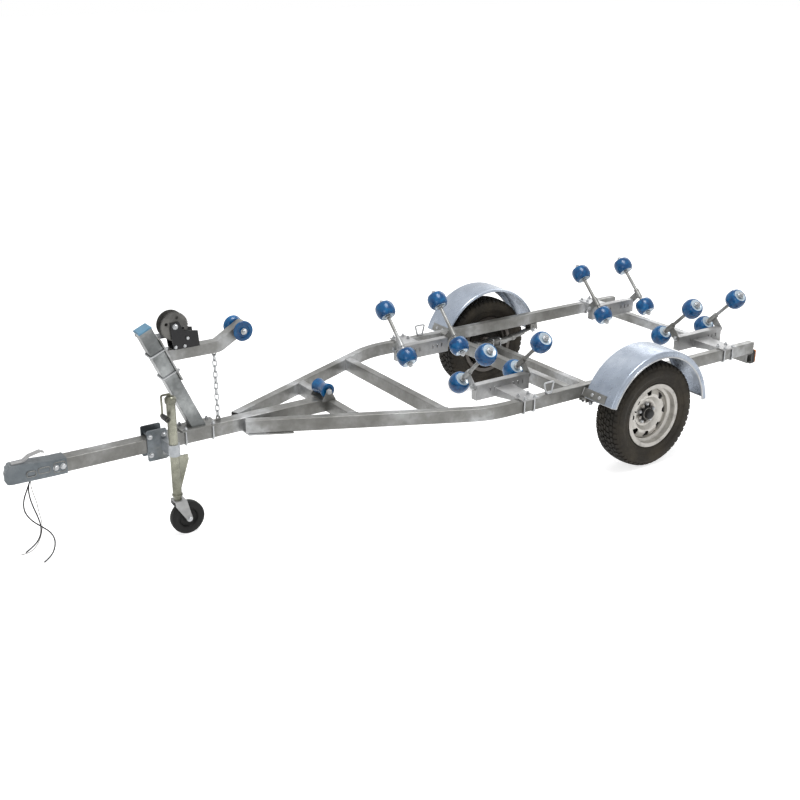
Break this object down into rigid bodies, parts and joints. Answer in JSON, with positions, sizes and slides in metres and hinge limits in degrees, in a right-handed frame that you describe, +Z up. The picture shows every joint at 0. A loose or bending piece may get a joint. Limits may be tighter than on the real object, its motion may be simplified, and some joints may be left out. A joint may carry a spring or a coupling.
{
  "type": "boat trailer",
  "caption": "Single-axle boat trailer of galvanised tube with rocking roller cradles, a winch post with bow roller, mudguards and a jockey wheel.",
  "frame": {"origin": "on the ground under the middle of the trailer's length and width", "axes": "+X forward to the coupler, +Y to the trailer's left, +Z up; it stands level on its wheels and jockey wheel"},
  "size_m": [4.67, 1.842, 1.178],
  "materials": {
    "galvanised_steel": "satin, hot-dip galvanised",
    "galvanised_sheet": "satin, hot-dip galvanised sheet",
    "silver_rim": "satin silver paint",
    "tyre_rubber": "matt",
    "blue_roller": "glossy moulded blue",
    "black_rubber": "matt",
    "black_steel": "satin black paint",
    "worn_steel": "dull greased steel",
    "zinc_plate": "bright zinc",
    "lamp_black": "black housing with a red lens",
    "black_lead": "matt",
    "pale_lead": "matt"
  },
  "bodies": {
    "frame": {"drawbar": "galvanised_steel", "rail_left": "galvanised_steel", "rail_right": "galvanised_steel", "crossmembers": "galvanised_steel", "rear_crossmember": "galvanised_steel", "tie_plate": "galvanised_steel", "axle_beam": "galvanised_steel", "leaf_springs": "galvanised_steel", "spring_hangers": "galvanised_steel", "mudguard_left": "galvanised_sheet", "mudguard_right": "galvanised_sheet", "mudguard_stays": "galvanised_steel", "coupler": "galvanised_steel", "coupler_lever": "galvanised_steel", "jack_clamp": "galvanised_steel", "jack_tube": "galvanised_steel", "post_foot": "galvanised_steel", "winch_post": "galvanised_steel", "post_cap": "blue_roller", "bow_arm": "galvanised_steel", "winch_frame": "black_steel", "cradle_brackets": "galvanised_steel", "cradle_beam_front_left": "galvanised_steel", "cradle_beam_front_right": "galvanised_steel", "cradle_beam_rear_left": "galvanised_steel", "cradle_beam_rear_right": "galvanised_steel", "keel_roller_bracket": "galvanised_steel", "u_bolts": "zinc_plate", "safety_chain": "zinc_plate", "tail_lamps": "lamp_black", "wire_long": "black_lead", "wire_short": "black_lead", "wire_pale": "pale_lead"},
    "wheel_left": {"rim_left": "silver_rim", "tyre_left": "tyre_rubber"},
    "wheel_right": {"rim_right": "silver_rim", "tyre_right": "tyre_rubber"},
    "jack_leg": {"jack_slider": "galvanised_steel"},
    "jack_caster": {"jockey_fork": "galvanised_steel"},
    "jack_wheel": {"jockey_wheel": "black_rubber"},
    "bow_roller": {"bow_roller": "blue_roller"},
    "keel_roller": {"keel_roller": "blue_roller"},
    "winch_drum": {"winch_drum": "worn_steel"},
    "winch_crank": {"winch_crank": "zinc_plate"},
    "cradle_arm_front_left_front": {"cradle_arm_front_left_front": "galvanised_steel"},
    "rollers_front_left_front": {"rollers_front_left_front": "blue_roller"},
    "cradle_arm_front_left_rear": {"cradle_arm_front_left_rear": "galvanised_steel"},
    "rollers_front_left_rear": {"rollers_front_left_rear": "blue_roller"},
    "cradle_arm_front_right_front": {"cradle_arm_front_right_front": "galvanised_steel"},
    "rollers_front_right_front": {"rollers_front_right_front": "blue_roller"},
    "cradle_arm_front_right_rear": {"cradle_arm_front_right_rear": "galvanised_steel"},
    "rollers_front_right_rear": {"rollers_front_right_rear": "blue_roller"},
    "cradle_arm_rear_left_front": {"cradle_arm_rear_left_front": "galvanised_steel"},
    "rollers_rear_left_front": {"rollers_rear_left_front": "blue_roller"},
    "cradle_arm_rear_left_rear": {"cradle_arm_rear_left_rear": "galvanised_steel"},
    "rollers_rear_left_rear": {"rollers_rear_left_rear": "blue_roller"},
    "cradle_arm_rear_right_front": {"cradle_arm_rear_right_front": "galvanised_steel"},
    "rollers_rear_right_front": {"rollers_rear_right_front": "blue_roller"},
    "cradle_arm_rear_right_rear": {"cradle_arm_rear_right_rear": "galvanised_steel"},
    "rollers_rear_right_rear": {"rollers_rear_right_rear": "blue_roller"}
  },
  "joints": [
    {"name": "wheel_left_spin", "type": "hinge", "parent": "frame", "child": "wheel_left", "pos_m": [-1.195, 0.805, 0.325], "axis": [0, 1, 0], "continuous": true},
    {"name": "wheel_right_spin", "type": "hinge", "parent": "frame", "child": "wheel_right", "pos_m": [-1.195, -0.805, 0.325], "axis": [0, 1, 0], "continuous": true},
    {"name": "jack_slide", "type": "slide", "parent": "frame", "child": "jack_leg", "axis": [0, 0, -1], "range_m": [-0.015, 0.2]},
    {"name": "jack_swivel", "type": "hinge", "parent": "jack_leg", "child": "jack_caster", "pos_m": [1.51, 0.15, 0.2], "axis": [0, 0, 1], "continuous": true},
    {"name": "jack_wheel_spin", "type": "hinge", "parent": "jack_caster", "child": "jack_wheel", "pos_m": [1.465, 0.15, 0.092], "axis": [0, 1, 0], "continuous": true},
    {"name": "bow_roller_spin", "type": "hinge", "parent": "frame", "child": "bow_roller", "pos_m": [1.045, 0, 1.022], "axis": [0, 1, 0], "continuous": true},
    {"name": "keel_roller_spin", "type": "hinge", "parent": "frame", "child": "keel_roller", "pos_m": [0.54, 0, 0.58], "axis": [0, 1, 0], "continuous": true},
    {"name": "winch_drum_spin", "type": "hinge", "parent": "frame", "child": "winch_drum", "pos_m": [1.411, 0, 1.102], "axis": [0, 1, 0], "continuous": true},
    {"name": "winch_crank_spin", "type": "hinge", "parent": "frame", "child": "winch_crank", "pos_m": [1.34927, 0, 1.03344], "axis": [0, 1, 0], "continuous": true},
    {"name": "cradle_rock_front_left_front", "type": "hinge", "parent": "frame", "child": "cradle_arm_front_left_front", "pos_m": [-0.215, 0.41, 0.56], "axis": [1, 0, 0], "range_deg": [-30, 6]},
    {"name": "rollers_spin_front_left_front", "type": "hinge", "parent": "cradle_arm_front_left_front", "child": "rollers_front_left_front", "pos_m": [-0.215, 0.35139, 0.61983], "axis": [0, 0.7144, 0.6998], "continuous": true},
    {"name": "cradle_rock_front_left_rear", "type": "hinge", "parent": "frame", "child": "cradle_arm_front_left_rear", "pos_m": [-0.615, 0.41, 0.56], "axis": [1, 0, 0], "range_deg": [-30, 6]},
    {"name": "rollers_spin_front_left_rear", "type": "hinge", "parent": "cradle_arm_front_left_rear", "child": "rollers_front_left_rear", "pos_m": [-0.615, 0.35139, 0.61983], "axis": [0, 0.7144, 0.6998], "continuous": true},
    {"name": "cradle_rock_front_right_front", "type": "hinge", "parent": "frame", "child": "cradle_arm_front_right_front", "pos_m": [-0.215, -0.41, 0.56], "axis": [-1, 0, 0], "range_deg": [-30, 6]},
    {"name": "rollers_spin_front_right_front", "type": "hinge", "parent": "cradle_arm_front_right_front", "child": "rollers_front_right_front", "pos_m": [-0.215, -0.35139, 0.61983], "axis": [0, -0.7144, 0.6998], "continuous": true},
    {"name": "cradle_rock_front_right_rear", "type": "hinge", "parent": "frame", "child": "cradle_arm_front_right_rear", "pos_m": [-0.615, -0.41, 0.56], "axis": [-1, 0, 0], "range_deg": [-30, 6]},
    {"name": "rollers_spin_front_right_rear", "type": "hinge", "parent": "cradle_arm_front_right_rear", "child": "rollers_front_right_rear", "pos_m": [-0.615, -0.35139, 0.61983], "axis": [0, -0.7144, 0.6998], "continuous": true},
    {"name": "cradle_rock_rear_left_front", "type": "hinge", "parent": "frame", "child": "cradle_arm_rear_left_front", "pos_m": [-1.85, 0.41, 0.56], "axis": [1, 0, 0], "range_deg": [-30, 6]},
    {"name": "rollers_spin_rear_left_front", "type": "hinge", "parent": "cradle_arm_rear_left_front", "child": "rollers_rear_left_front", "pos_m": [-1.85, 0.35139, 0.61983], "axis": [0, 0.7144, 0.6998], "continuous": true},
    {"name": "cradle_rock_rear_left_rear", "type": "hinge", "parent": "frame", "child": "cradle_arm_rear_left_rear", "pos_m": [-2.25, 0.41, 0.56], "axis": [1, 0, 0], "range_deg": [-30, 6]},
    {"name": "rollers_spin_rear_left_rear", "type": "hinge", "parent": "cradle_arm_rear_left_rear", "child": "rollers_rear_left_rear", "pos_m": [-2.25, 0.35139, 0.61983], "axis": [0, 0.7144, 0.6998], "continuous": true},
    {"name": "cradle_rock_rear_right_front", "type": "hinge", "parent": "frame", "child": "cradle_arm_rear_right_front", "pos_m": [-1.85, -0.41, 0.56], "axis": [-1, 0, 0], "range_deg": [-30, 6]},
    {"name": "rollers_spin_rear_right_front", "type": "hinge", "parent": "cradle_arm_rear_right_front", "child": "rollers_rear_right_front", "pos_m": [-1.85, -0.35139, 0.61983], "axis": [0, -0.7144, 0.6998], "continuous": true},
    {"name": "cradle_rock_rear_right_rear", "type": "hinge", "parent": "frame", "child": "cradle_arm_rear_right_rear", "pos_m": [-2.25, -0.41, 0.56], "axis": [-1, 0, 0], "range_deg": [-30, 6]},
    {"name": "rollers_spin_rear_right_rear", "type": "hinge", "parent": "cradle_arm_rear_right_rear", "child": "rollers_rear_right_rear", "pos_m": [-2.25, -0.35139, 0.61983], "axis": [0, -0.7144, 0.6998], "continuous": true}
  ],
  "couplings": [
    {"joint": "winch_crank_spin", "follows": "winch_drum_spin", "ratio": -4}
  ]
}
